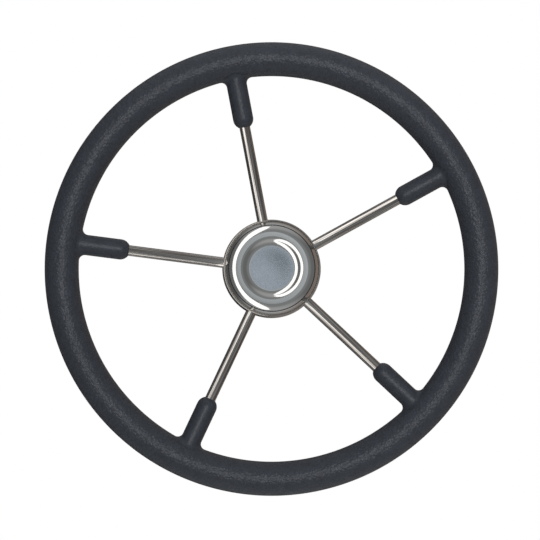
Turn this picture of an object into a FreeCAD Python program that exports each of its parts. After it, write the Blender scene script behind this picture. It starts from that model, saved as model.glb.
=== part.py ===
import FreeCAD, Part
import math
import os
from FreeCAD import Vector

# Boat steering wheel: a soft moulded rim on five bent stainless rods, and a
# polished hub that fits the tapered end of a helm shaft.
#
# Lengths are in millimetres and angles in degrees. The wheel is drawn lying
# down, with its axis along Z, its back at height zero and its face upwards.
# The last step stands it up: the axis turns to Y, the face looks along -Y,
# and the origin stays at the centre of the boss's back face.

# Rim
wheel_diameter = 400.0
grip_thickness = 30.0
core_thickness = 10.0
rim_height = 24.0
bond_gap = 0.1

# Spokes
spoke_count = 5
first_spoke_angle = 28.8
spoke_thickness = 9.5
spoke_height = 11.0
bend_from_shell = 4.5
bend_radius = 60.0

# Sleeves that the grip's moulding runs down onto the spokes
sleeve_thickness = 18.0
sleeve_reach = 44.0
sleeve_root_round = 5.0

# Boss, turned from bar
boss_diameter = 42.0
boss_length = 24.0
spigot_diameter = 36.0
spigot_length = 3.6
boss_chamfer = 0.8
taper_mouth_diameter = 19.05
taper_rate = 1.0 / 12.0
key_width = 4.76
key_depth = 2.0
nut_recess_diameter = 30.0
nut_recess_depth = 2.0
socket_depth = 7.0
socket_play = 0.05

# Shell, a drawn cup that stands on the boss's shoulder and draws in a little towards its mouth
shell_diameter = 88.0
shell_draft_angle = 3.8
shell_wall = 2.6
shell_floor = 1.6
shell_depth = 29.0
shell_back_round = 3.8
shell_lip_round = 0.5
mouth_depth = 8.0
mouth_wall = 1.1
spigot_play = 0.05
spoke_hole_play = 0.15

# Cap, pressed from sheet: a round recess in its face, a tight shoulder, and a fuller side below it
cap_wall = 1.0
cap_play = 0.3
cap_seat_gap = 0.1
cap_rise = 11.5
cap_shoulder_reach = 9.9
cap_shoulder_radius = 7.3
cap_side_radius = 12.5
recess_floor_diameter = 39.0
recess_foot_radius = 6.2
recess_crest_radius = 5.8
recess_wall_angle = 44.5

# Sealing ring in the rolled groove of the cap's skirt
seal_thickness = 2.0
seal_play = 0.1

# Radii and heights that follow from the sizes above
rim_radius = (wheel_diameter - grip_thickness) / 2
spoke_radius = spoke_thickness / 2
sleeve_radius = sleeve_thickness / 2
shell_radius = shell_diameter / 2
sleeve_tip = rim_radius - grip_thickness / 2 - sleeve_reach
bend_at = shell_radius + bend_from_shell
shell_back_height = spigot_length - shell_floor
shell_front_height = shell_back_height + shell_depth
shell_draft = math.radians(shell_draft_angle)
shell_draw_in = ((shell_depth - shell_back_round - shell_lip_round) * math.sin(shell_draft)
                 - (shell_back_round - shell_lip_round) * (1 - math.cos(shell_draft))) / math.cos(shell_draft)
shell_front_radius = shell_radius - shell_draw_in
mouth_radius = shell_front_radius - mouth_wall
mouth_floor_height = shell_front_height - mouth_depth
cap_radius = mouth_radius - cap_play
cap_face_height = shell_front_height + cap_rise
cap_foot_height = mouth_floor_height + cap_seat_gap
seal_radius = seal_thickness / 2
seal_ring_radius = cap_radius - seal_radius
seal_height = mouth_floor_height + mouth_depth / 2
spoke_rise_angle = math.degrees(math.atan2(rim_height - spoke_height, rim_radius - bend_at))

ORIGIN = Vector(0, 0, 0)
AXIS = Vector(0, 0, 1)
ALONG_X = Vector(1, 0, 0)
ALONG_Y = Vector(0, 1, 0)
MARGIN = 5.0


def section_point(radius, height):
    """A point of a section drawn on the half plane through the axis."""
    return Vector(radius, 0, height)


def line(start, end):
    return Part.LineSegment(section_point(*start), section_point(*end)).toShape()


def arc(centre, radius, start_angle, end_angle):
    """An arc of the section about its centre, angles counted from outwards towards the face."""
    angles = (start_angle, (start_angle + end_angle) / 2, end_angle)
    return Part.Arc(*[section_point(*arc_end(centre, radius, angle)) for angle in angles]).toShape()


def arc_end(centre, radius, angle):
    turn = math.radians(angle)
    return centre[0] + radius * math.cos(turn), centre[1] + radius * math.sin(turn)


def turned(edges):
    """The solid of revolution of a closed section about the wheel's axis."""
    return Part.Face(Part.Wire(edges)).revolve(ORIGIN, AXIS, 360)


def turned_polygon(corners):
    closed = corners + corners[:1]
    return turned([line(start, end) for start, end in zip(closed, closed[1:])])


def tube(inner_radius, outer_radius, low, high):
    corners = [(inner_radius, low), (outer_radius, low), (outer_radius, high), (inner_radius, high)]
    return turned_polygon(corners)


def ring(ring_radius, wire_radius, height):
    return Part.makeTorus(ring_radius, wire_radius, section_point(0, height), AXIS)


def spoke_angles():
    return [first_spoke_angle + index * 360.0 / spoke_count for index in range(spoke_count)]


def around(shape):
    """A shape made on the X side, repeated at every spoke's angle."""
    copies = []
    for angle in spoke_angles():
        copy = shape.copy()
        copy.rotate(ORIGIN, AXIS, angle)
        copies.append(copy)
    return copies


def on_outer_run(shape, start):
    """A shape drawn along X, moved onto the spoke's straight outer run, beginning at start from the axis."""
    rise = math.radians(spoke_rise_angle)
    shape.rotate(ORIGIN, ALONG_Y, -spoke_rise_angle)
    shape.translate(section_point(start, spoke_height + (start - bend_at) * math.tan(rise)))
    return shape


def outer_run_length(start):
    """Length of the outer run from start to the middle of the grip."""
    return (rim_radius - start) / math.cos(math.radians(spoke_rise_angle))


def spoke():
    """A rod from its socket in the boss, level through the shell, then bent up to the rim's core."""
    rise = math.radians(spoke_rise_angle)
    tangent = bend_radius * math.tan(rise / 2)
    inner_end = section_point(boss_diameter / 2 - socket_depth + socket_play, spoke_height)
    bend_start = section_point(bend_at - tangent, spoke_height)
    to_middle = section_point(bend_radius * math.sin(rise / 2), bend_radius * (1 - math.cos(rise / 2)))
    bend_middle = bend_start + to_middle
    bend_end = section_point(bend_at + tangent * math.cos(rise), spoke_height + tangent * math.sin(rise))
    outer_end = section_point(rim_radius, rim_height)
    path = Part.Wire([
        Part.LineSegment(inner_end, bend_start).toShape(),
        Part.Arc(bend_start, bend_middle, bend_end).toShape(),
        Part.LineSegment(bend_end, outer_end).toShape(),
    ])
    rod_section = Part.Face(Part.Wire(Part.makeCircle(spoke_radius, inner_end, ALONG_X)))
    rod = path.makePipe(rod_section)
    return rod.cut(ring(rim_radius, core_thickness / 2, rim_height))


def ring_sector(bar_radius):
    """One spoke's share of a ring at the rim, with the spoke in the middle of it."""
    share = 360.0 / spoke_count
    bar_section = Part.makeCircle(bar_radius, section_point(rim_radius, rim_height), ALONG_Y)
    sector = Part.Face(Part.Wire(bar_section)).revolve(ORIGIN, AXIS, share)
    sector.rotate(ORIGIN, AXIS, -share / 2)
    return sector


def sleeve():
    """A sleeve with a half-round tip about the spoke's outer run, as far as the middle of the grip."""
    length = outer_run_length(sleeve_tip)
    blunt_angle = math.degrees(math.asin(spoke_radius / 2 / sleeve_radius))
    blunt_start = (sleeve_radius - sleeve_radius * math.cos(math.radians(blunt_angle)), 0)
    tip = arc((sleeve_radius, 0), sleeve_radius, 180 - blunt_angle, 90)
    outline = [
        line(blunt_start, (blunt_start[0], spoke_radius / 2)),
        tip,
        line((sleeve_radius, sleeve_radius), (length, sleeve_radius)),
        line((length, sleeve_radius), (length, 0)),
        line((length, 0), blunt_start),
    ]
    bar = Part.Face(Part.Wire(outline)).revolve(ORIGIN, ALONG_X, 360)
    bar.rotate(ORIGIN, ALONG_X, 180)
    return on_outer_run(bar, sleeve_tip)


def grip_sector():
    """One spoke's share of the moulding: rim and sleeve blended at the root, less the room for the steel."""
    moulding = ring_sector(grip_thickness / 2).fuse(sleeve())
    root = [edge for edge in moulding.Edges if edge.Curve.TypeId == "Part::GeomBSplineCurve"]
    moulding = moulding.makeFillet(sleeve_root_round, root)
    bore_start = sleeve_tip - MARGIN
    spoke_bore = Part.makeCylinder(spoke_radius + bond_gap, outer_run_length(bore_start), ORIGIN, ALONG_X)
    core_room = ring_sector(core_thickness / 2 + bond_gap)
    return moulding.cut([core_room, on_outer_run(spoke_bore, bore_start)])


def rim_core():
    return ring(rim_radius, core_thickness / 2, rim_height)


def rim_grip():
    """The moulded rim with its sleeves, one skin from end to end."""
    sectors = around(grip_sector())
    return sectors[0].multiFuse(sectors[1:]).removeSplitter()


def hub_boss():
    """A turned boss: spigot and shoulder at the back, tapered keyed bore, nut recess and five sockets."""
    outer = boss_diameter / 2
    spigot = spigot_diameter / 2
    recess = nut_recess_diameter / 2
    nut_seat_height = boss_length - nut_recess_depth
    mouth = taper_mouth_diameter / 2
    small_end = mouth - nut_seat_height * taper_rate / 2
    boss = turned_polygon([
        (mouth, 0),
        (spigot - boss_chamfer, 0),
        (spigot, boss_chamfer),
        (spigot, spigot_length),
        (outer, spigot_length),
        (outer, boss_length - boss_chamfer),
        (outer - boss_chamfer, boss_length),
        (recess, boss_length),
        (recess, nut_seat_height),
        (small_end, nut_seat_height),
    ])
    keyway = Part.makeBox(key_width, mouth + key_depth, boss_length, Vector(-key_width / 2, 0, 0))
    socket_floor = section_point(outer - socket_depth, spoke_height)
    socket = Part.makeCylinder(spoke_radius + socket_play, socket_depth + MARGIN, socket_floor, ALONG_X)
    return boss.cut([keyway] + around(socket))


def hub_shell():
    """A cup with a round back corner and a turned mouth, its floor on the boss, its wall holed for spokes."""
    hole = spigot_diameter / 2 + spigot_play
    back = shell_back_height
    front = shell_front_height
    inner_round = shell_back_round - shell_floor
    floor_top = back + shell_floor
    corner = (shell_radius - shell_back_round, back + shell_back_round)
    lip = (shell_front_radius - shell_lip_round, front - shell_lip_round)
    edge = (mouth_radius + shell_lip_round, front - shell_lip_round)
    side_start = arc_end(corner, shell_back_round, shell_draft_angle)
    side_end = arc_end(lip, shell_lip_round, shell_draft_angle)
    inner_corner = (shell_radius - shell_wall - inner_round, floor_top + inner_round)
    inner_start = arc_end(inner_corner, inner_round, shell_draft_angle)
    ledge_radius = inner_start[0] - (mouth_floor_height - inner_start[1]) * math.tan(shell_draft)
    cup = turned([
        line((hole, back), (corner[0], back)),
        arc(corner, shell_back_round, -90, shell_draft_angle),
        line(side_start, side_end),
        arc(lip, shell_lip_round, shell_draft_angle, 90),
        line((lip[0], front), (edge[0], front)),
        arc(edge, shell_lip_round, 90, 180),
        line((mouth_radius, edge[1]), (mouth_radius, mouth_floor_height)),
        line((mouth_radius, mouth_floor_height), (ledge_radius, mouth_floor_height)),
        line((ledge_radius, mouth_floor_height), inner_start),
        arc(inner_corner, inner_round, shell_draft_angle, -90),
        line((inner_corner[0], floor_top), (hole, floor_top)),
        line((hole, floor_top), (hole, back)),
    ])
    hole_start = section_point(boss_diameter / 2, spoke_height)
    spoke_hole = Part.makeCylinder(spoke_radius + spoke_hole_play, shell_radius, hole_start, ALONG_X)
    return cup.cut(around(spoke_hole))


def cap_surface(inset):
    """The cap's section from its centre to its foot, moved in from the outer skin by inset."""
    wall = recess_wall_angle
    foot = recess_floor_diameter / 2
    spread = (recess_foot_radius + recess_crest_radius) * math.sin(math.radians(wall))
    crest = foot + spread
    depth = (recess_foot_radius + recess_crest_radius) * (1 - math.cos(math.radians(wall)))
    floor_height = cap_face_height - depth
    foot_centre = (foot, floor_height + recess_foot_radius)
    crest_centre = (crest, cap_face_height - recess_crest_radius)
    shoulder = cap_radius - cap_shoulder_reach
    shoulder_centre = (shoulder, cap_face_height - cap_shoulder_radius)

    # The side arc takes over from the shoulder without a kink and ends upright at the skirt
    share = (cap_side_radius - cap_shoulder_reach) / (cap_side_radius - cap_shoulder_radius)
    turn = math.degrees(math.acos(share))
    side_centre = arc_end(arc_end(shoulder_centre, cap_shoulder_radius, turn), -cap_side_radius, turn)
    return [
        line((0, floor_height - inset), (foot, floor_height - inset)),
        arc(foot_centre, recess_foot_radius + inset, -90, wall - 90),
        arc(crest_centre, recess_crest_radius - inset, wall + 90, 90),
        line((crest, cap_face_height - inset), (shoulder, cap_face_height - inset)),
        arc(shoulder_centre, cap_shoulder_radius - inset, 90, turn),
        arc(side_centre, cap_side_radius - inset, turn, 0),
        line((cap_radius - inset, side_centre[1]), (cap_radius - inset, cap_foot_height)),
    ]


def hub_cap():
    """A dished cap of even sheet with a rolled groove round its skirt for the sealing ring."""
    outside = cap_surface(0)
    inside = cap_surface(cap_wall)
    top = outside[0].Vertexes[0].Point
    under = inside[0].Vertexes[0].Point
    foot = line((cap_radius, cap_foot_height), (cap_radius - cap_wall, cap_foot_height))
    middle = Part.LineSegment(under, top).toShape()
    sheet = turned(outside + [foot] + inside[::-1] + [middle])
    groove_radius = seal_radius + seal_play
    bead_radius = groove_radius + cap_wall
    bead = ring(seal_ring_radius, bead_radius, seal_height)
    bead = bead.fuse(tube(seal_ring_radius, cap_radius, seal_height - bead_radius, seal_height + bead_radius))
    bead = bead.common(tube(seal_ring_radius - bead_radius, cap_radius, cap_foot_height, cap_face_height))
    groove = ring(seal_ring_radius, groove_radius, seal_height)
    groove_low = seal_height - groove_radius
    groove_mouth = tube(seal_ring_radius, cap_radius + MARGIN, groove_low, groove_low + 2 * groove_radius)
    return sheet.fuse(bead).cut([groove, groove_mouth]).removeSplitter()


def cap_seal():
    return ring(seal_ring_radius, seal_radius, seal_height)


def standing(shape):
    """The finished solids, turned so that the wheel's face looks along -Y and its top is +Z."""
    upright = Part.makeCompound(shape.Solids) if len(shape.Solids) > 1 else shape.Solids[0].copy()
    upright.rotate(ORIGIN, ALONG_X, 90)
    return upright


def main():
    nodes = {
        "rim_grip": rim_grip(),
        "rim_core": rim_core(),
        "hub_boss": hub_boss(),
        "hub_shell": hub_shell(),
        "hub_cap": hub_cap(),
        "cap_seal": cap_seal(),
    }
    for number, rod in enumerate(around(spoke()), start=1):
        nodes["spoke_%d" % number] = rod
    os.makedirs("parts", exist_ok=True)
    for name, shape in nodes.items():
        solid = standing(shape)
        solid.exportStep("parts/%s.step" % name)
        box = solid.BoundBox
        print("%-10s solids %d valid %s volume %.0f mm3 x %.1f..%.1f y %.1f..%.1f z %.1f..%.1f" % (
            name, len(solid.Solids), solid.isValid(), solid.Volume,
            box.XMin, box.XMax, box.YMin, box.YMax, box.ZMin, box.ZMax))


main()
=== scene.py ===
"""Looks of a boat steering wheel: a moulded charcoal rim on five bent steel rods, and a polished hub."""
import math

import bmesh
import bpy
import numpy as np
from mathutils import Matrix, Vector


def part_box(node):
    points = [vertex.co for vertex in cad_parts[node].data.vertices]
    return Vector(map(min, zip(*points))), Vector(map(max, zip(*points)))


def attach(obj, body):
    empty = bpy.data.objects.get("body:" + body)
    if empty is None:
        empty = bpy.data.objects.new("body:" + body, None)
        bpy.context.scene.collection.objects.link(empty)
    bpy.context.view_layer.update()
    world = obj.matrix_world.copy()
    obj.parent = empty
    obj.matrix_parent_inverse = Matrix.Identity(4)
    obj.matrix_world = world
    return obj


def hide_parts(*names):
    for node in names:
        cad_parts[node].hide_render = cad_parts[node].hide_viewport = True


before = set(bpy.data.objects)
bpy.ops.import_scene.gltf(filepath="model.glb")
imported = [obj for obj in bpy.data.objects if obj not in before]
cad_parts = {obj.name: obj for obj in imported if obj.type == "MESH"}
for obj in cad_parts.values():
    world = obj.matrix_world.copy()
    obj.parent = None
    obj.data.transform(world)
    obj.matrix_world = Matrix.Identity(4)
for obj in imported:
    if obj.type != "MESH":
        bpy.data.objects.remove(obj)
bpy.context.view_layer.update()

MM = 0.001
FULL_TURN = 2 * math.pi
SHARP_EDGE = math.radians(35)
MERGE_DISTANCE = 0.0001 * MM


def span(node, axis):
    """Size of a CAD node along one axis, in metres."""
    low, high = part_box(node)
    return high[axis] - low[axis]


# Sizes read from the frame. Height is counted from the hub's back towards the face, which looks along -Y.
GRIP_RADIUS = span("rim_grip", 1) / 2
RIM_RADIUS = span("rim_grip", 2) / 2 - GRIP_RADIUS
RIM_HEIGHT = -(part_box("rim_core")[0].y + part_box("rim_core")[1].y) / 2
CORE_RADIUS = span("rim_core", 1) / 2
CAP_RADIUS = span("hub_cap", 2) / 2
CAP_FACE_HEIGHT = -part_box("hub_cap")[0].y
CAP_FOOT_HEIGHT = -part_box("hub_cap")[1].y
SEAL_RADIUS = span("cap_seal", 1) / 2
SEAL_HEIGHT = -(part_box("cap_seal")[0].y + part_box("cap_seal")[1].y) / 2
SHELL_RADIUS = span("hub_shell", 2) / 2
BOSS_RADIUS = span("hub_boss", 2) / 2

# Spokes, and the sleeves moulded over them
SPOKE_COUNT = 5
FIRST_SPOKE_ANGLE = math.radians(28.8)
SPOKE_RADIUS = 4.75 * MM
SPOKE_HEIGHT = 11 * MM
SPOKE_SOCKET = 6.95 * MM
BEND_FROM_SHELL = 4.5 * MM
BEND_RADIUS = 60 * MM
SLEEVE_RADIUS = 9 * MM
SLEEVE_REACH = 44 * MM
SLEEVE_ROOT_ROUND = 5 * MM
BOND_GAP = 0.1 * MM

# A sleeve ends inside the rim: its bore this far back from the rim's middle, its root this far under the skin
BORE_END = GRIP_RADIUS / 2
ROOT_SINK = GRIP_RADIUS / 30

# Strength of the moulded grain, full on the rim and faint on the sleeves
RIM_GRAIN = 1.0
SLEEVE_GRAIN = 0.35

# Pressed cap with a round recess in its face and a rolled groove round its skirt
CAP_WALL = 1.0 * MM
CAP_SHOULDER_REACH = 9.9 * MM
CAP_SHOULDER = 7.3 * MM
CAP_SIDE = 12.5 * MM
RECESS_FLOOR_RADIUS = 19.5 * MM
RECESS_FOOT = 6.2 * MM
RECESS_CREST = 5.8 * MM
RECESS_WALL_ANGLE = 44.5
RECESS_DISH = 0.45 * MM
SEAL_PLAY = 0.1 * MM

BEND_AT = SHELL_RADIUS + BEND_FROM_SHELL
SPOKE_RISE = math.atan2(RIM_HEIGHT - SPOKE_HEIGHT, RIM_RADIUS - BEND_AT)


def spoke_angles():
    return [FIRST_SPOKE_ANGLE + index * FULL_TURN / SPOKE_COUNT for index in range(SPOKE_COUNT)]


def placed(outward, height, sideways, angle):
    """Points of the frame from the distance out along a spoke's angle, the height, and the distance aside."""
    x = outward * math.cos(angle) - sideways * math.sin(angle)
    z = outward * math.sin(angle) + sideways * math.cos(angle)
    return np.stack([x, -height, z], axis=-1)


def arc_points(centre, radius, start, end, count):
    """An arc: centre + radius (cos t, sin t), for t in even steps from start to end, in degrees."""
    t = np.radians(np.linspace(start, end, count))
    return np.stack([centre[0] + radius * np.cos(t), centre[1] + radius * np.sin(t)], axis=-1)


def closed_skin(grid, rows_close):
    """Points, quads and their UV corners for a grid of points whose columns close on themselves.

    Rows close too if rows_close, and otherwise each end gets a ring of zero size at its middle.
    U counts once round a row. V is the mean distance along the columns, in metres.
    """
    if not rows_close:
        ends = [np.broadcast_to(end.mean(axis=0), end.shape)[None] for end in (grid[0], grid[-1])]
        grid = np.concatenate([ends[0], grid, ends[1]])
    rows, columns = grid.shape[:2]
    points = grid.reshape(-1, 3)
    steps = np.linalg.norm(np.roll(grid, -1, axis=0) - grid, axis=-1).mean(axis=1)
    distance = np.concatenate([[0.0], np.cumsum(steps)])
    row, column = np.mgrid[0:rows if rows_close else rows - 1, 0:columns]
    row_corners = np.stack([row, row, row + 1, row + 1], axis=-1).reshape(-1, 4)
    column_corners = np.stack([column, column + 1, column + 1, column], axis=-1).reshape(-1, 4)
    faces = (row_corners % rows) * columns + column_corners % columns
    uv = np.stack([column_corners / columns, distance[row_corners]], axis=-1)
    if enclosed_volume(points, faces) < 0:
        faces, uv = faces[:, ::-1], uv[:, ::-1]
    return points, faces, uv


def enclosed_volume(points, quads):
    """The sum of a.(b x c)/6 over both triangles of every quad: negative where the quads face inwards."""
    a, b, c, d = (points[quads[:, corner]] for corner in range(4))
    return (np.einsum("ij,ij->", a, np.cross(b, c)) + np.einsum("ij,ij->", a, np.cross(c, d))) / 6


def piece(name, skins, grain=None):
    """One smooth mesh object from closed skins, with points that share a place merged."""
    counts = np.cumsum([0] + [len(skin[0]) for skin in skins])
    points = np.concatenate([skin[0] for skin in skins])
    faces = np.concatenate([skin[1] + start for skin, start in zip(skins, counts)])
    uv = np.concatenate([skin[2] for skin in skins])
    mesh = bpy.data.meshes.new(name)
    mesh.from_pydata(points, [], faces)
    mesh.uv_layers.new(name="surface").data.foreach_set("uv", uv.astype(np.float32).ravel())
    if grain is not None:
        mesh.attributes.new("grain", "FLOAT", "POINT").data.foreach_set("value", grain.astype(np.float32))
    work = bmesh.new()
    work.from_mesh(mesh)
    bmesh.ops.remove_doubles(work, verts=work.verts, dist=MERGE_DISTANCE)
    work.to_mesh(mesh)
    work.free()
    mesh.shade_smooth()
    mesh.set_sharp_from_angle(angle=SHARP_EDGE)
    made = bpy.data.objects.new(name, mesh)
    bpy.context.scene.collection.objects.link(made)
    return made


def turned_skin(section, steps=256):
    """A section (radius, height) carried round the axis: (r cos a, -h, r sin a), a from 0 to a full turn."""
    a = np.linspace(0, FULL_TURN, steps, endpoint=False)
    radius, height = section[:, 0, None], section[:, 1, None]
    grid = np.stack([radius * np.cos(a), -height + 0 * a, radius * np.sin(a)], axis=-1)
    return closed_skin(grid, rows_close=False)


def rim_skin(around=720, across=72):
    """A circle of the grip's radius carried round the circle of the rim's radius."""
    a, b = np.meshgrid(np.linspace(0, FULL_TURN, around, endpoint=False),
                       np.linspace(0, FULL_TURN, across, endpoint=False), indexing="ij")
    radius = RIM_RADIUS + GRIP_RADIUS * np.cos(b)
    height = RIM_HEIGHT + GRIP_RADIUS * np.sin(b)
    grid = np.stack([radius * np.cos(a), -height, radius * np.sin(a)], axis=-1)
    return closed_skin(grid, rows_close=True)


def to_rim_line(outward, height, sideways):
    """From each point to the nearest one on the circle through the middle of the rim, and the distance."""
    flat = np.hypot(outward, sideways)
    step = np.stack([outward, 0 * flat, sideways], axis=-1) * (RIM_RADIUS / flat - 1)[..., None]
    step[..., 1] = RIM_HEIGHT - height
    return step, np.linalg.norm(step, axis=-1)


def sleeve_skin(angle, columns=96, tip_rows=24, side_rows=14, root_rows=20, ball_moves=40):
    """A sleeve round one spoke, from the room for the rod to the root where it blends into the rim.

    Its section at the angle b about the rod is the bore, a half-round tip, a straight side, and the arc
    that a ball leaves as it rolls in the corner. The ball's middle lies sleeve + ball away from the rod's
    line and grip + ball away from the rim's, and the arc turns from the one to the other about it.
    """
    b = np.linspace(0, FULL_TURN, columns, endpoint=False)
    cos_rise, sin_rise = math.cos(SPOKE_RISE), math.sin(SPOKE_RISE)

    def section(back, radius):
        """Outward, height and sideways of points at a distance back from the rim's middle along the rod."""
        outward = RIM_RADIUS - back * cos_rise - radius * np.cos(b) * sin_rise
        height = RIM_HEIGHT - back * sin_rise + radius * np.cos(b) * cos_rise
        return np.stack([outward, height, radius * np.sin(b) + 0 * height], axis=-1)

    ball = SLEEVE_ROOT_ROUND
    back = np.full(columns, GRIP_RADIUS + ball)
    for _ in range(ball_moves):
        middle = section(back, SLEEVE_RADIUS + ball)
        inwards, distance = to_rim_line(*middle.T)
        back = back + GRIP_RADIUS + ball - distance
    to_rim = inwards / distance[:, None]
    to_rod = (section(back, SLEEVE_RADIUS) - middle) / ball
    corner = np.arccos(np.einsum("ij,ij->i", to_rod, to_rim))[:, None]
    share = np.linspace(0, 1, root_rows)[:, None, None]
    turned = np.sin((1 - share) * corner) * to_rod + np.sin(share * corner) * to_rim
    root = middle + ball * turned / np.sin(corner)

    bore = SPOKE_RADIUS + BOND_GAP
    tip_back = (GRIP_RADIUS + SLEEVE_REACH) / cos_rise - SLEEVE_RADIUS
    tip_start = math.degrees(math.asin(bore / SLEEVE_RADIUS))
    tip = arc_points((tip_back, 0), SLEEVE_RADIUS, tip_start, 90, tip_rows)
    side = tip_back + (back - tip_back) * np.linspace(0, 1, side_rows)[1:-1, None]
    rows = [section(BORE_END, bore)]
    rows += [section(tip_row_back, radius) for tip_row_back, radius in tip]
    rows += [section(side_row_back, SLEEVE_RADIUS) for side_row_back in side]
    rows += list(root)
    rows.append(root[-1] + to_rim * ROOT_SINK)
    outward, height, sideways = np.moveaxis(np.stack(rows), -1, 0)
    return closed_skin(placed(outward, height, sideways, angle), rows_close=True)


def rod_skin(angle, columns=64, level_rows=8, bend_rows=9, rising_rows=24):
    """One spoke: a circle carried along a level run, an arc and a straight run that rises to the rim's core.

    Its outer end is hollowed to the core, where the run back from the rim's middle is
    sqrt(core^2 - (rod cos b)^2), the core being nearly straight over the width of the rod.
    """
    tangent = BEND_RADIUS * math.tan(SPOKE_RISE / 2)
    slope = np.linspace(0, SPOKE_RISE, bend_rows)
    arc_out = BEND_AT - tangent + BEND_RADIUS * np.sin(slope)
    arc_height = SPOKE_HEIGHT + BEND_RADIUS * (1 - np.cos(slope))
    level_out = np.linspace(BOSS_RADIUS - SPOKE_SOCKET, arc_out[0], level_rows)[:-1]
    rising = np.linspace(0, 1, rising_rows)[1:, None]
    b = np.linspace(0, FULL_TURN, columns, endpoint=False)
    back = np.sqrt(CORE_RADIUS ** 2 - (SPOKE_RADIUS * np.cos(b)) ** 2)
    end_out = RIM_RADIUS - back * math.cos(SPOKE_RISE)
    end_height = RIM_HEIGHT - back * math.sin(SPOKE_RISE)
    line_out = np.concatenate([np.repeat(np.concatenate([level_out, arc_out])[:, None], columns, axis=1),
                               arc_out[-1] + (end_out - arc_out[-1]) * rising])
    line_height = np.concatenate([np.full((len(level_out), columns), SPOKE_HEIGHT),
                                  np.repeat(arc_height[:, None], columns, axis=1),
                                  arc_height[-1] + (end_height - arc_height[-1]) * rising])
    lean = np.concatenate([0 * level_out, slope, np.full(len(rising), SPOKE_RISE)])[:, None]
    outward = line_out - SPOKE_RADIUS * np.cos(b) * np.sin(lean)
    height = line_height + SPOKE_RADIUS * np.cos(b) * np.cos(lean)
    sideways = np.broadcast_to(SPOKE_RADIUS * np.sin(b), outward.shape)
    return closed_skin(placed(outward, height, sideways, angle), rows_close=False)


def cap_side(inset, floor_rows=24, recess_rows=20, side_rows=28):
    """One face of the cap's sheet from the middle to the skirt: floor, foot, crest, flat, shoulder and side.

    The floor sinks to its middle by dish (1 - (r / R)^2)^2, R being the floor's radius.
    """
    wall = math.radians(RECESS_WALL_ANGLE)
    floor_height = CAP_FACE_HEIGHT - (RECESS_FOOT + RECESS_CREST) * (1 - math.cos(wall))
    crest = RECESS_FLOOR_RADIUS + (RECESS_FOOT + RECESS_CREST) * math.sin(wall)
    shoulder = CAP_RADIUS - CAP_SHOULDER_REACH
    turn = math.degrees(math.acos((CAP_SIDE - CAP_SHOULDER_REACH) / (CAP_SIDE - CAP_SHOULDER)))
    side_height = CAP_FACE_HEIGHT - CAP_SHOULDER + (CAP_SHOULDER - CAP_SIDE) * math.sin(math.radians(turn))
    floor = np.linspace(0, RECESS_FLOOR_RADIUS, floor_rows)[:-1]
    sunk = RECESS_DISH * (1 - (floor / RECESS_FLOOR_RADIUS) ** 2) ** 2
    foot_centre = (RECESS_FLOOR_RADIUS, floor_height + RECESS_FOOT)
    crest_centre = (crest, CAP_FACE_HEIGHT - RECESS_CREST)
    shoulder_centre = (shoulder, CAP_FACE_HEIGHT - CAP_SHOULDER)
    side_centre = (CAP_RADIUS - CAP_SIDE, side_height)
    return np.concatenate([
        np.stack([floor, floor_height - inset - sunk], axis=-1),
        arc_points(foot_centre, RECESS_FOOT + inset, -90, RECESS_WALL_ANGLE - 90, recess_rows),
        arc_points(crest_centre, RECESS_CREST - inset, RECESS_WALL_ANGLE + 90, 90, recess_rows)[1:],
        arc_points(shoulder_centre, CAP_SHOULDER - inset, 90, turn, side_rows),
        arc_points(side_centre, CAP_SIDE - inset, turn, 0, side_rows)[1:],
    ])


def cap_section(groove_rows=16, bead_rows=24):
    """The cap's whole section: its outside, the seal's groove, the foot, and the inside with the bead."""
    groove = SEAL_RADIUS + SEAL_PLAY
    ring = CAP_RADIUS - SEAL_RADIUS
    inner = CAP_RADIUS - CAP_WALL
    return np.concatenate([
        cap_side(0),
        [(CAP_RADIUS, SEAL_HEIGHT + groove)],
        arc_points((ring, SEAL_HEIGHT), groove, 90, 270, groove_rows),
        [(CAP_RADIUS, SEAL_HEIGHT - groove), (CAP_RADIUS, CAP_FOOT_HEIGHT), (inner, CAP_FOOT_HEIGHT)],
        arc_points((ring, SEAL_HEIGHT), groove + CAP_WALL, 270, 90, bead_rows),
        cap_side(CAP_WALL)[::-1],
    ])


def linear(hex_text):
    """A linear colour from an sRGB hex value."""
    parts = [int(hex_text[place:place + 2], 16) / 255 for place in (1, 3, 5)]
    return [c / 12.92 if c <= 0.04045 else ((c + 0.055) / 1.055) ** 2.4 for c in parts] + [1.0]


def add_node(tree, kind, settings=None, inputs=None):
    """Adds a node. Settings are its properties. Inputs are its sockets, each a value or a socket to link."""
    made = tree.nodes.new(kind)
    for key, value in (settings or {}).items():
        setattr(made, key, value)
    for key, value in (inputs or {}).items():
        if isinstance(value, bpy.types.NodeSocket):
            tree.links.new(value, made.inputs[key])
        else:
            made.inputs[key].default_value = value
    return made


def new_tree(name):
    """A new material, and its node tree with nothing in it."""
    material = bpy.data.materials.new(name)
    material.use_nodes = True
    material.node_tree.nodes.clear()
    return material, material.node_tree


# The wave node turns by this many radians over one metre at a scale of 1, so a wave that turns by one
# radian over a distance repeats after 2 pi times that distance
WAVE_NODE_RADIANS = 20


# In a Mix node of colours, input 0 is the share, 6 and 7 are the two colours, and output 2 is the result
def fade(tree, value, limits, first, second):
    """A colour that passes softly from the first to the second as the value goes between two limits."""
    share = add_node(tree, "ShaderNodeMapRange", {"interpolation_type": "SMOOTHSTEP"},
                     {"Value": value, "From Min": limits[0], "From Max": limits[1]})
    return add_node(tree, "ShaderNodeMix", {"data_type": "RGBA"},
                    {0: share.outputs["Result"], 6: first, 7: second}).outputs[2]


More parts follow.
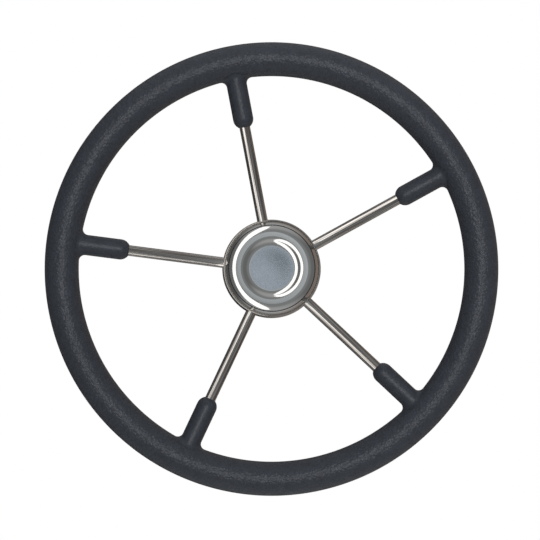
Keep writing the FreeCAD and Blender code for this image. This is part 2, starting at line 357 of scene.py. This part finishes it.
def off_axis(tree, vector):
    """Length of a vector without its part along the axis: the length of (x, 0, z)."""
    flat = add_node(tree, "ShaderNodeVectorMath", {"operation": "MULTIPLY"}, {0: vector, 1: (1.0, 0.0, 1.0)})
    return add_node(tree, "ShaderNodeVectorMath", {"operation": "LENGTH"},
                    {0: flat.outputs["Vector"]}).outputs["Value"]


def grained_foam():
    """Self-skinned polyurethane foam from a leather-grained die: a dull charcoal skin of fine pebbles."""
    pebble_width, pebble_height = 2.3 * MM, 0.4 * MM
    wander_width, pore_width, mottle_width = pebble_width / 0.35, 0.4 * MM, 7 * MM
    material, tree = new_tree("self_skinned_foam_grained")
    place = add_node(tree, "ShaderNodeTexCoord").outputs["Object"]
    strength = add_node(tree, "ShaderNodeAttribute", {"attribute_name": "grain"}).outputs["Fac"]
    wander = add_node(tree, "ShaderNodeTexNoise", None,
                      {"Vector": place, "Scale": 1 / wander_width, "Detail": 2.0})
    bent = add_node(tree, "ShaderNodeVectorMath", {"operation": "MULTIPLY_ADD"},
                    {0: wander.outputs["Color"], 1: [pebble_width] * 3, 2: place})
    pebbles = add_node(tree, "ShaderNodeTexVoronoi", {"feature": "SMOOTH_F1"},
                       {"Vector": bent.outputs["Vector"], "Scale": 1 / pebble_width,
                        "Smoothness": 0.4}).outputs["Distance"]
    pores = add_node(tree, "ShaderNodeTexNoise", None,
                     {"Vector": place, "Scale": 1 / pore_width, "Detail": 3.0})
    relief = add_node(tree, "ShaderNodeMath", {"operation": "MULTIPLY_ADD"},
                      {0: pores.outputs["Fac"], 1: 0.1, 2: pebbles})
    bump = add_node(tree, "ShaderNodeBump", {"invert": True},
                    {"Height": relief.outputs["Value"], "Strength": strength, "Distance": pebble_height})
    mottle = add_node(tree, "ShaderNodeTexNoise", None,
                      {"Vector": place, "Scale": 1 / mottle_width, "Detail": 4.0})
    shade = add_node(tree, "ShaderNodeMath", {"operation": "MULTIPLY_ADD"},
                     {0: pebbles, 1: 0.5, 2: mottle.outputs["Fac"]}).outputs["Value"]
    colour = add_node(tree, "ShaderNodeMix", {"data_type": "RGBA"},
                      {0: shade, 6: linear("#30343b"), 7: linear("#24272d")})
    gloss = add_node(tree, "ShaderNodeMapRange", None,
                     {"Value": shade, "From Min": 0.3, "From Max": 1.1, "To Min": 0.32, "To Max": 0.44})
    shader = add_node(tree, "ShaderNodeBsdfPrincipled", None,
                      {"Base Color": colour.outputs[2], "Roughness": gloss.outputs["Result"],
                       "Normal": bump.outputs["Normal"], "IOR": 1.5})
    add_node(tree, "ShaderNodeOutputMaterial", None, {"Surface": shader.outputs["BSDF"]})
    return material


def spun_cap_steel():
    """Stainless sheet, spun and buffed: a near mirror with the tool's faint rings, satin on the floor.

    The rings are coarser than a real tool's. They lie 2.2 mm apart, about as fine as the picture shows.
    """
    ring_radian, ring_height = 0.35 * MM, 0.02 * MM
    haze_width, speck_width = 6 * MM, 1.2 * MM
    floor_inner, floor_outer = RECESS_FLOOR_RADIUS - 1.5 * MM, RECESS_FLOOR_RADIUS + 1.0 * MM
    material, tree = new_tree("stainless_sheet_spun_buffed")
    place = add_node(tree, "ShaderNodeTexCoord").outputs["Object"]
    rings = add_node(tree, "ShaderNodeTexWave", {"wave_type": "RINGS", "rings_direction": "Y"},
                     {"Vector": place, "Scale": 1 / (ring_radian * WAVE_NODE_RADIANS),
                      "Distortion": 1.5, "Detail": 2.0, "Detail Scale": 40.0})
    haze = add_node(tree, "ShaderNodeTexNoise", None,
                    {"Vector": place, "Scale": 1 / haze_width, "Detail": 5.0})
    on_floor = add_node(tree, "ShaderNodeMapRange", {"interpolation_type": "SMOOTHSTEP"},
                        {"Value": off_axis(tree, place), "From Min": floor_inner, "From Max": floor_outer,
                         "To Min": 1.0, "To Max": 0.0}).outputs["Result"]
    specks = add_node(tree, "ShaderNodeTexNoise", None,
                      {"Vector": place, "Scale": 1 / speck_width, "Detail": 3.0})
    satin = add_node(tree, "ShaderNodeMix", {"data_type": "RGBA"},
                     {0: specks.outputs["Fac"], 6: linear("#b4bac0"), 7: linear("#d2d8dd")})
    colour = add_node(tree, "ShaderNodeMix", {"data_type": "RGBA"},
                      {0: on_floor, 6: linear("#d3d1cd"), 7: satin.outputs[2]})
    bump = add_node(tree, "ShaderNodeBump", None,
                    {"Height": rings.outputs["Fac"], "Strength": 0.12, "Distance": ring_height})
    polish = add_node(tree, "ShaderNodeMapRange", None,
                      {"Value": haze.outputs["Fac"], "From Min": 0.3, "From Max": 0.7,
                       "To Min": 0.07, "To Max": 0.12})
    gloss = add_node(tree, "ShaderNodeMath", {"operation": "MULTIPLY_ADD"},
                     {0: on_floor, 1: 0.06, 2: polish.outputs["Result"]})
    shader = add_node(tree, "ShaderNodeBsdfPrincipled", None,
                      {"Base Color": colour.outputs[2], "Metallic": 1.0, "Roughness": gloss.outputs["Value"],
                       "Normal": bump.outputs["Normal"]})
    add_node(tree, "ShaderNodeOutputMaterial", None, {"Surface": shader.outputs["BSDF"]})
    return material


def drawn_rod_steel():
    """Stainless rod, drawn and then polished along its length: bright, with fine lines that run with it."""
    line_width, line_length, line_height = 0.3 * MM, 40 * MM, 0.03 * MM
    streak_width, streak_length = 1.2 * MM, 100 * MM
    material, tree = new_tree("stainless_rod_drawn_polished")
    surface = add_node(tree, "ShaderNodeUVMap", {"uv_map": "surface"}).outputs["UV"]

    def drawn_noise(width, length, detail):
        """Noise in patches of a width round the rod and a length along it. U counts once round the rod."""
        girth = FULL_TURN * SPOKE_RADIUS
        stretched = add_node(tree, "ShaderNodeMapping", None,
                             {"Vector": surface, "Scale": (girth / width, 1 / length, 1.0)})
        made = add_node(tree, "ShaderNodeTexNoise", None,
                        {"Vector": stretched.outputs["Vector"], "Scale": 1.0, "Detail": detail})
        return made.outputs["Fac"]

    lines = drawn_noise(line_width, line_length, 3.0)
    streaks = drawn_noise(streak_width, streak_length, 1.0)
    dulled = add_node(tree, "ShaderNodeMapRange", None,
                      {"Value": streaks, "From Min": 0.42, "From Max": 0.58})
    colour = add_node(tree, "ShaderNodeMix", {"data_type": "RGBA"},
                      {0: dulled.outputs["Result"], 6: linear("#d0cbc5"), 7: linear("#8a837d")})
    bump = add_node(tree, "ShaderNodeBump", None,
                    {"Height": lines, "Strength": 0.35, "Distance": line_height})
    gloss = add_node(tree, "ShaderNodeMapRange", None,
                     {"Value": lines, "From Min": 0.3, "From Max": 0.7, "To Min": 0.11, "To Max": 0.2})
    shader = add_node(tree, "ShaderNodeBsdfPrincipled", None,
                      {"Base Color": colour.outputs[2], "Metallic": 1.0, "Roughness": gloss.outputs["Result"],
                       "Normal": bump.outputs["Normal"]})
    add_node(tree, "ShaderNodeOutputMaterial", None, {"Surface": shader.outputs["BSDF"]})
    return material


def grooved_steel(name, colour, roughness, groove_radian):
    """Steel worked round the axis: shallow grooves on its faces and sides, 2 pi times groove_radian apart.

    That is 2.5 mm on the cup, 3.8 mm on the boss and 5 mm on the ring, all coarser than real ones.
    """
    groove_height, haze_width = 0.03 * MM, 5 * MM
    material, tree = new_tree(name)
    place = add_node(tree, "ShaderNodeTexCoord").outputs["Object"]
    grooves = {"Vector": place, "Scale": 1 / (groove_radian * WAVE_NODE_RADIANS),
               "Distortion": 0.8, "Detail": 2.0}
    on_faces = add_node(tree, "ShaderNodeTexWave", {"wave_type": "RINGS", "rings_direction": "Y"}, grooves)
    on_sides = add_node(tree, "ShaderNodeTexWave", {"bands_direction": "Y"}, grooves)
    both = add_node(tree, "ShaderNodeMath", {"operation": "ADD"},
                    {0: on_faces.outputs["Fac"], 1: on_sides.outputs["Fac"]})
    bump = add_node(tree, "ShaderNodeBump", None,
                    {"Height": both.outputs["Value"], "Strength": 0.12, "Distance": groove_height})
    haze = add_node(tree, "ShaderNodeTexNoise", None,
                    {"Vector": place, "Scale": 1 / haze_width, "Detail": 4.0})
    gloss = add_node(tree, "ShaderNodeMapRange", None,
                     {"Value": haze.outputs["Fac"], "From Min": 0.3, "From Max": 0.7,
                      "To Min": roughness * 0.8, "To Max": roughness * 1.3})
    shader = add_node(tree, "ShaderNodeBsdfPrincipled", None,
                      {"Base Color": linear(colour), "Metallic": 1.0, "Roughness": gloss.outputs["Result"],
                       "Normal": bump.outputs["Normal"]})
    add_node(tree, "ShaderNodeOutputMaterial", None, {"Surface": shader.outputs["BSDF"]})
    return material


def seal_rubber():
    """Nitrile rubber, moulded: a matt black ring with a slight bloom."""
    bloom_width = 2 * MM
    material, tree = new_tree("nitrile_rubber_moulded")
    place = add_node(tree, "ShaderNodeTexCoord").outputs["Object"]
    bloom = add_node(tree, "ShaderNodeTexNoise", None,
                     {"Vector": place, "Scale": 1 / bloom_width, "Detail": 4.0})
    colour = add_node(tree, "ShaderNodeMix", {"data_type": "RGBA"},
                      {0: bloom.outputs["Fac"], 6: linear("#161616"), 7: linear("#242322")})
    shader = add_node(tree, "ShaderNodeBsdfPrincipled", None,
                      {"Base Color": colour.outputs[2], "Roughness": 0.55, "IOR": 1.52})
    add_node(tree, "ShaderNodeOutputMaterial", None, {"Surface": shader.outputs["BSDF"]})
    return material


def dress(thing, material):
    thing.data.materials.clear()
    thing.data.materials.append(material)


def build_wheel():
    """The pieces that stand for CAD nodes, each on its body, and the finishes of all. Returns the grip."""
    sleeves = [sleeve_skin(angle) for angle in spoke_angles()]
    rim = rim_skin()
    grain = [np.full(len(rim[0]), RIM_GRAIN)] + [np.full(len(skin[0]), SLEEVE_GRAIN) for skin in sleeves]
    grip = piece("grip_moulding", [rim] + sleeves, np.concatenate(grain))
    dress(grip, grained_foam())
    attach(grip, "wheel")
    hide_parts("rim_grip")

    rod_steel = drawn_rod_steel()
    for number, angle in enumerate(spoke_angles(), start=1):
        rod = piece("spoke_rod_%d" % number, [rod_skin(angle)])
        dress(rod, rod_steel)
        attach(rod, "wheel")
        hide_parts("spoke_%d" % number)

    cap = piece("cap_pressing", [turned_skin(cap_section())])
    dress(cap, spun_cap_steel())
    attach(cap, "cap")
    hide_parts("hub_cap")

    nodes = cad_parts
    dress(nodes["hub_shell"], grooved_steel("stainless_cup_polished", "#b4afa9", 0.08, 0.4 * MM))
    dress(nodes["hub_boss"], grooved_steel("stainless_bar_turned", "#c2bfba", 0.3, 0.6 * MM))
    dress(nodes["rim_core"], grooved_steel("steel_ring_rolled", "#8f8c88", 0.4, 0.8 * MM))
    dress(nodes["cap_seal"], seal_rubber())
    return grip


# Where the camera stands: almost straight on, from a trace left and below
CAMERA_DISTANCE = 1.5
CAMERA_AZIMUTH = math.radians(-0.6)
CAMERA_ELEVATION = math.radians(-1.2)
PICTURE_WIDTH = 0.4762
AIM_RIGHT = -1.57 * MM
AIM_UP = -1.39 * MM


def direction(azimuth, elevation):
    """Unit vector to a place seen from the wheel, azimuth from the face's side, to the right if positive."""
    return Vector((math.sin(azimuth) * math.cos(elevation), -math.cos(azimuth) * math.cos(elevation),
                   math.sin(elevation)))


def facing(thing, place, target):
    thing.location = place
    thing.rotation_euler = (target - place).to_track_quat("-Z", "Y").to_euler()
    bpy.context.scene.collection.objects.link(thing)


def place_camera():
    data = bpy.data.cameras.new("camera")
    data.lens = data.sensor_width * CAMERA_DISTANCE / PICTURE_WIDTH
    camera = bpy.data.objects.new("camera", data)
    target = Vector((AIM_RIGHT, -RIM_HEIGHT, AIM_UP))
    facing(camera, target + CAMERA_DISTANCE * direction(CAMERA_AZIMUTH, CAMERA_ELEVATION), target)
    bpy.context.scene.camera = camera


# Lamps: azimuth and elevation in degrees, distance, width and height in metres, and brightness
TALL_SOFTBOX = (-33.7, 0, 1.5, 1.3, 16.0, 1.45)
FRONT_SHEEN = (2, 4, 8.0, 2.6, 2.6, 3.8)
UNMIRRORED_LAMPS = {
    "front_fill": (2, 6, 8.0, 6.5, 6.5, 4.0),
    "top_panel": (0, 65, 0.5, 0.8, 0.3, 1.2),
    "low_panel": (0, -65, 0.5, 0.8, 0.3, 0.5),
    "right_panel": (65, 0, 0.5, 0.3, 0.8, 0.8),
    "left_panel": (-65, 0, 0.5, 0.3, 0.8, 0.1),
    "rear_fill": (180, 0, 8.0, 6.5, 6.5, 3.0),
}


def softbox(name, azimuth, elevation, distance, width, height, brightness):
    """A lamp with a flat face of even brightness: its power is brightness times pi times its area."""
    data = bpy.data.lights.new(name, "AREA")
    data.shape = "RECTANGLE"
    data.size, data.size_y = width, height
    data.energy = brightness * math.pi * width * height
    lamp = bpy.data.objects.new(name, data)
    lamp.visible_camera = False
    target = Vector((0, -RIM_HEIGHT, 0))
    place = target + distance * direction(math.radians(azimuth), math.radians(elevation))
    facing(lamp, place, target)
    return lamp


def link_lamp(lamp, thing, state):
    """Lets the lamp light only the thing (INCLUDE) or all but it (EXCLUDE), which no real lamp can do."""
    reach = bpy.data.collections.new("reach_of_" + lamp.name)
    reach.objects.link(thing)
    reach.collection_objects[0].light_linking.link_state = state
    lamp.light_linking.receiver_collection = reach


def hang_lamps(grip):
    """A tall softbox at the left front for the steel, and soft lamps that nothing mirrors.

    The tall softbox leaves out the grip, and the sheen on the grip's crest has a lamp of its own.
    """
    strip = softbox("tall_softbox_left", *TALL_SOFTBOX)
    strip.visible_diffuse = False
    link_lamp(strip, grip, "EXCLUDE")
    sheen = softbox("front_sheen", *FRONT_SHEEN)
    sheen.visible_diffuse = False
    link_lamp(sheen, grip, "INCLUDE")
    for name, numbers in UNMIRRORED_LAMPS.items():
        softbox(name, *numbers).visible_glossy = False


# The room's tones pass into one another between these parts of a direction's unit vector
AXIS_LEFT_TO_RIGHT = (-0.12, 0.12)
OFF_THE_AXIS = (0.05, 0.24)
FAR_OFF_THE_AXIS = (0.5, 0.95)
REAR_LEFT_TO_RIGHT = (-0.3, 0.3)
LOWER_LEFT = (-0.17, -0.05)
NEARLY_BEHIND = (0.85, 0.95)
FRONT_TO_REAR = (-0.15, 0.35)
UP_OR_DOWN = (0.5, 1.0)
STRAIGHT_BEHIND = (0.9976, 0.9995)  # the cosines of 4 and 1.8 degrees

# How much a direction's upward part counts beside its part to the right, on the way to the upper right
UPWARD_LEAN = 0.84


def paint_room():
    """A room that the camera sees white. Metal sees it grey, and white within 4 degrees of straight behind.

    In front it is lighter to the upper right near the axis, a middle grey further off, and darker far off.
    Behind it is darker to the left, and darkest to the lower left near the axis. Straight up and down it
    is lighter.
    """
    world = bpy.data.worlds.new("studio")
    bpy.context.scene.world = world
    world.use_nodes = True
    tree = world.node_tree
    tree.nodes.clear()
    way = add_node(tree, "ShaderNodeTexCoord").outputs["Generated"]
    parts = add_node(tree, "ShaderNodeSeparateXYZ", None, {"Vector": way}).outputs
    right, back, up = (parts[axis] for axis in "XYZ")
    aside = off_axis(tree, way)
    to_upper_right = add_node(tree, "ShaderNodeMath", {"operation": "MULTIPLY_ADD"},
                              {0: up, 1: UPWARD_LEAN, 2: right}).outputs["Value"]
    up_or_down = add_node(tree, "ShaderNodeMath", {"operation": "ABSOLUTE"}, {0: up}).outputs["Value"]

    front = fade(tree, to_upper_right, AXIS_LEFT_TO_RIGHT, linear("#797e83"), linear("#ced4da"))
    front = fade(tree, aside, OFF_THE_AXIS, front, linear("#8b8f92"))
    front = fade(tree, aside, FAR_OFF_THE_AXIS, front, linear("#757779"))
    rear = fade(tree, right, REAR_LEFT_TO_RIGHT, linear("#5c5b5b"), linear("#8a7e76"))
    near_rear = fade(tree, to_upper_right, LOWER_LEFT, linear("#353433"), rear)
    rear = fade(tree, back, NEARLY_BEHIND, rear, near_rear)
    room = fade(tree, back, FRONT_TO_REAR, front, rear)
    room = fade(tree, up_or_down, UP_OR_DOWN, room, linear("#b2b4b6"))

    ray = add_node(tree, "ShaderNodeLightPath").outputs
    straight_behind = add_node(tree, "ShaderNodeMapRange", {"interpolation_type": "SMOOTHSTEP"},
                               {"Value": back, "From Min": STRAIGHT_BEHIND[0],
                                "From Max": STRAIGHT_BEHIND[1]})
    mirrored = add_node(tree, "ShaderNodeMath", {"operation": "MULTIPLY"},
                        {0: ray["Is Glossy Ray"], 1: straight_behind.outputs["Result"]})
    direct = add_node(tree, "ShaderNodeMath", {"operation": "MAXIMUM"},
                      {0: ray["Is Camera Ray"], 1: ray["Is Transmission Ray"]})
    seen = add_node(tree, "ShaderNodeMath", {"operation": "MAXIMUM"},
                    {0: direct.outputs["Value"], 1: mirrored.outputs["Value"]})
    picture = add_node(tree, "ShaderNodeMix", {"data_type": "RGBA"},
                       {0: seen.outputs["Value"], 6: room, 7: linear("#ffffff")})
    background = add_node(tree, "ShaderNodeBackground", None, {"Color": picture.outputs[2], "Strength": 1.0})
    add_node(tree, "ShaderNodeOutputWorld", None, {"Surface": background.outputs["Background"]})


# The floor under the wheel's mounting, which the photograph's frame doesn't reach
FLOOR_LEVEL = -0.45
FLOOR_HALF_WIDTH = 2.5
FLOOR_FAR_EDGE = 0.9
FLOOR_COLOUR = "#e9e8e6"
FLOOR_PALENESS = 0.4


def lay_floor():
    """A plain floor, seen from above only, and made paler for the camera, so that it lights nothing more."""
    near = -2 * FLOOR_HALF_WIDTH + FLOOR_FAR_EDGE
    corners = [(-FLOOR_HALF_WIDTH, near), (FLOOR_HALF_WIDTH, near),
               (FLOOR_HALF_WIDTH, FLOOR_FAR_EDGE), (-FLOOR_HALF_WIDTH, FLOOR_FAR_EDGE)]
    mesh = bpy.data.meshes.new("floor")
    mesh.from_pydata([(x, y, FLOOR_LEVEL) for x, y in corners], [], [(0, 1, 2, 3)])
    floor = bpy.data.objects.new("floor", mesh)
    bpy.context.scene.collection.objects.link(floor)
    material, tree = new_tree("floor_paper")
    colour = linear(FLOOR_COLOUR)
    paper = add_node(tree, "ShaderNodeBsdfPrincipled", None, {"Base Color": colour, "Roughness": 0.9})
    to_camera = add_node(tree, "ShaderNodeLightPath").outputs["Is Camera Ray"]
    paleness = add_node(tree, "ShaderNodeMath", {"operation": "MULTIPLY"}, {0: to_camera, 1: FLOOR_PALENESS})
    glow = add_node(tree, "ShaderNodeEmission", None,
                    {"Color": colour, "Strength": paleness.outputs["Value"]})
    pale = add_node(tree, "ShaderNodeAddShader", None,
                    {0: paper.outputs["BSDF"], 1: glow.outputs["Emission"]})
    clear = add_node(tree, "ShaderNodeBsdfTransparent")
    under = add_node(tree, "ShaderNodeNewGeometry").outputs["Backfacing"]
    both = add_node(tree, "ShaderNodeMixShader", None,
                    {0: under, 1: pale.outputs["Shader"], 2: clear.outputs["BSDF"]})
    add_node(tree, "ShaderNodeOutputMaterial", None, {"Surface": both.outputs["Shader"]})
    dress(floor, material)
    floor.visible_glossy = False
    floor.visible_shadow = False


wheel_grip = build_wheel()
place_camera()
hang_lamps(wheel_grip)
paint_room()
lay_floor()
bpy.context.scene.view_settings.view_transform = "Standard"
